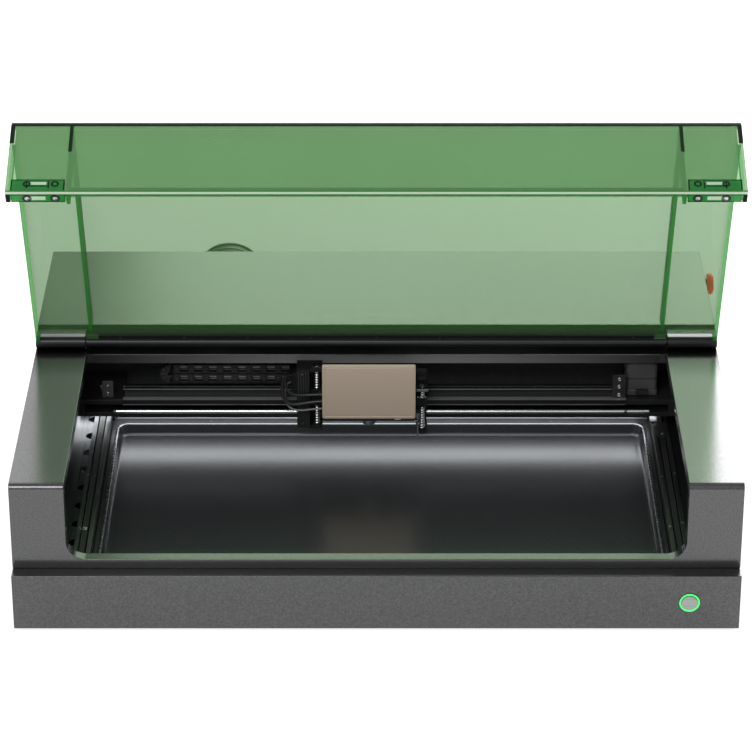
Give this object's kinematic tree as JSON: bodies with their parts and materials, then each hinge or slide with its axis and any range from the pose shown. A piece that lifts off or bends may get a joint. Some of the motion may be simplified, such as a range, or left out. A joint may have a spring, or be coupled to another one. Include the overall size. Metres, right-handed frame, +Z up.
{
  "type": "desktop laser cutter",
  "caption": "Enclosed desktop laser cutter with a hinged translucent lid, belt-driven gantry, lifting laser module, power button, emergency stop and rear exhaust collar.",
  "frame": {"origin": "middle of the rest-pose outline, on the surface the feet stand on", "axes": "+X to the right of a person facing the front, +Y to the rear, +Z up"},
  "size_m": [0.7796, 0.6108, 0.4887],
  "materials": {
    "casing_paint": "fine textured dark grey powder coat",
    "black_parts": "fine textured black",
    "black_metal": "satin black",
    "rail_metal": "brushed, anodised",
    "steel": "ground and polished",
    "bed_metal": "satin dark grey",
    "champagne": "fine bead blasted champagne",
    "green_acrylic": "polished translucent green",
    "rubber": "matt",
    "red_plastic": "gloss red",
    "silver_metal": "satin",
    "board_green": "solder mask green"
  },
  "bodies": {
    "base": {"base_shell": "casing_paint", "base_front_panel": "casing_paint", "foot_front_left": "rubber", "foot_front_right": "rubber", "foot_rear_left": "rubber", "foot_rear_right": "rubber", "upper_casing": "casing_paint", "rear_hood": "casing_paint", "rear_panel": "black_metal", "exhaust_collar": "black_parts", "cross_beam": "black_metal", "side_frame_left": "black_metal", "side_frame_right": "black_metal", "chamber_back_wall": "black_metal", "work_bed": "bed_metal", "y_rail_left": "rail_metal", "y_rail_right": "rail_metal", "y_belt_left": "rubber", "y_belt_right": "rubber", "y_motor": "black_metal", "exhaust_fan_housing": "black_parts", "power_supply": "silver_metal", "control_board": "board_green", "power_inlet": "black_parts", "power_button_bezel": "silver_metal", "estop_base": "black_parts", "hinge_bar": "black_metal"},
    "lid": {"lid_shell": "green_acrylic", "lid_rib_left": "green_acrylic", "lid_rib_right": "green_acrylic", "lid_edge_strip": "green_acrylic", "lid_magnet_block_left": "green_acrylic", "lid_magnet_block_right": "green_acrylic", "lid_hinge_leaf": "black_metal"},
    "gantry": {"gantry_beam": "black_metal", "gantry_end_left": "black_metal", "gantry_end_right": "black_metal", "x_motor": "black_metal", "x_belt": "rubber", "cable_chain_lower": "black_parts"},
    "x_drive_pulley": {"x_motor_pulley": "silver_metal"},
    "x_return_pulley": {"x_idler_pulley": "silver_metal"},
    "chain_bend": {"cable_chain_bend": "black_parts"},
    "carriage": {"carriage_frame": "black_metal", "cable_chain_upper": "black_parts", "module_lead": "rubber"},
    "screw_left": {"lead_screw_left": "steel"},
    "screw_right": {"lead_screw_right": "steel"},
    "laser_module": {"module_housing": "black_metal", "module_cover": "champagne", "module_nozzle": "silver_metal"},
    "y_drive_shaft": {"y_shaft": "steel"},
    "y_return_pulley_left": {"y_idler_left": "silver_metal"},
    "y_return_pulley_right": {"y_idler_right": "silver_metal"},
    "power_button": {"power_button": "silver_metal"},
    "estop_stem": {"estop_stem": "black_parts"},
    "estop_cap": {"estop_cap": "red_plastic"},
    "exhaust_rotor": {"exhaust_fan_rotor": "black_parts"},
    "mains_rocker": {"mains_rocker": "black_parts"}
  },
  "joints": [
    {"name": "lid_hinge", "type": "hinge", "parent": "base", "child": "lid", "pos_m": [-0.00725, 0.03595, 0.1725], "axis": [1, 0, 0], "range_deg": [0, 67]},
    {"name": "gantry_slide", "type": "slide", "parent": "base", "child": "gantry", "axis": [0, -1, 0], "range_m": [0, 0.275]},
    {"name": "carriage_slide", "type": "slide", "parent": "gantry", "child": "carriage", "axis": [1, 0, 0], "range_m": [-0.19, 0.23], "deforming": ["cable_chain_lower", "cable_chain_upper"]},
    {"name": "module_lift", "type": "slide", "parent": "carriage", "child": "laser_module", "axis": [0, 0, 1], "range_m": [-0.025, 0.008], "deforming": ["module_lead"]},
    {"name": "lead_screw_left_turn", "type": "hinge", "parent": "carriage", "child": "screw_left", "pos_m": [-0.07475, 0.03635, 0.1], "axis": [0, 0, 1], "range_deg": [-1125.5, 360.5]},
    {"name": "lead_screw_right_turn", "type": "hinge", "parent": "carriage", "child": "screw_right", "pos_m": [0.04425, 0.03635, 0.09], "axis": [0, 0, 1], "range_deg": [-1125.5, 360.5]},
    {"name": "chain_bend_travel", "type": "slide", "parent": "gantry", "child": "chain_bend", "axis": [1, 0, 0], "range_m": [-0.0955, 0.1155]},
    {"name": "x_drive_pulley_turn", "type": "hinge", "parent": "gantry", "child": "x_drive_pulley", "pos_m": [0.29605, 0.08435, 0.078], "axis": [0, 0, 1], "range_deg": [-1491.76, 1805.71]},
    {"name": "x_return_pulley_turn", "type": "hinge", "parent": "gantry", "child": "x_return_pulley", "pos_m": [-0.32325, 0.08435, 0.078], "axis": [0, 0, 1], "range_deg": [-1491.76, 1805.71]},
    {"name": "y_shaft_turn", "type": "hinge", "parent": "base", "child": "y_drive_shaft", "pos_m": [-0.00725, 0.11435, 0.045], "axis": [1, 0, 0], "range_deg": [0, 2583.5]},
    {"name": "y_return_left_turn", "type": "hinge", "parent": "base", "child": "y_return_pulley_left", "pos_m": [-0.32285, -0.26365, 0.045], "axis": [1, 0, 0], "range_deg": [0, 2583.5]},
    {"name": "y_return_right_turn", "type": "hinge", "parent": "base", "child": "y_return_pulley_right", "pos_m": [0.3186, -0.26365, 0.045], "axis": [1, 0, 0], "range_deg": [0, 2583.5]},
    {"name": "power_button_press", "type": "slide", "parent": "base", "child": "power_button", "axis": [0, 1, 0], "range_m": [0, 0.0015], "stiffness_N_per_m": 600},
    {"name": "estop_press", "type": "slide", "parent": "base", "child": "estop_stem", "axis": [-1, 0, 0], "range_m": [0, 0.003], "stiffness_N_per_m": 800},
    {"name": "estop_twist", "type": "hinge", "parent": "estop_stem", "child": "estop_cap", "pos_m": [0.38575, 0.22635, 0.155], "axis": [1, 0, 0], "range_deg": [0, 35], "stiffness_Nm_per_rad": 0.05},
    {"name": "exhaust_rotor_spin", "type": "hinge", "parent": "base", "child": "exhaust_rotor", "pos_m": [-0.18275, 0.22935, 0.134], "axis": [0, 1, 0], "continuous": true},
    {"name": "mains_rocker_tilt", "type": "hinge", "parent": "base", "child": "mains_rocker", "pos_m": [0.30125, 0.24735, 0.1], "axis": [1, 0, 0], "range_deg": [0, 6]}
  ],
  "couplings": [
    {"joint": "lead_screw_left_turn", "follows": "module_lift", "rad_per_m": 785.4},
    {"joint": "lead_screw_right_turn", "follows": "module_lift", "rad_per_m": 785.4},
    {"joint": "chain_bend_travel", "follows": "carriage_slide", "ratio": 0.5},
    {"joint": "x_drive_pulley_turn", "follows": "carriage_slide", "rad_per_m": 136.99},
    {"joint": "x_return_pulley_turn", "follows": "carriage_slide", "rad_per_m": 136.99},
    {"joint": "y_shaft_turn", "follows": "gantry_slide", "rad_per_m": 163.93},
    {"joint": "y_return_left_turn", "follows": "gantry_slide", "rad_per_m": 163.93},
    {"joint": "y_return_right_turn", "follows": "gantry_slide", "rad_per_m": 163.93}
  ]
}
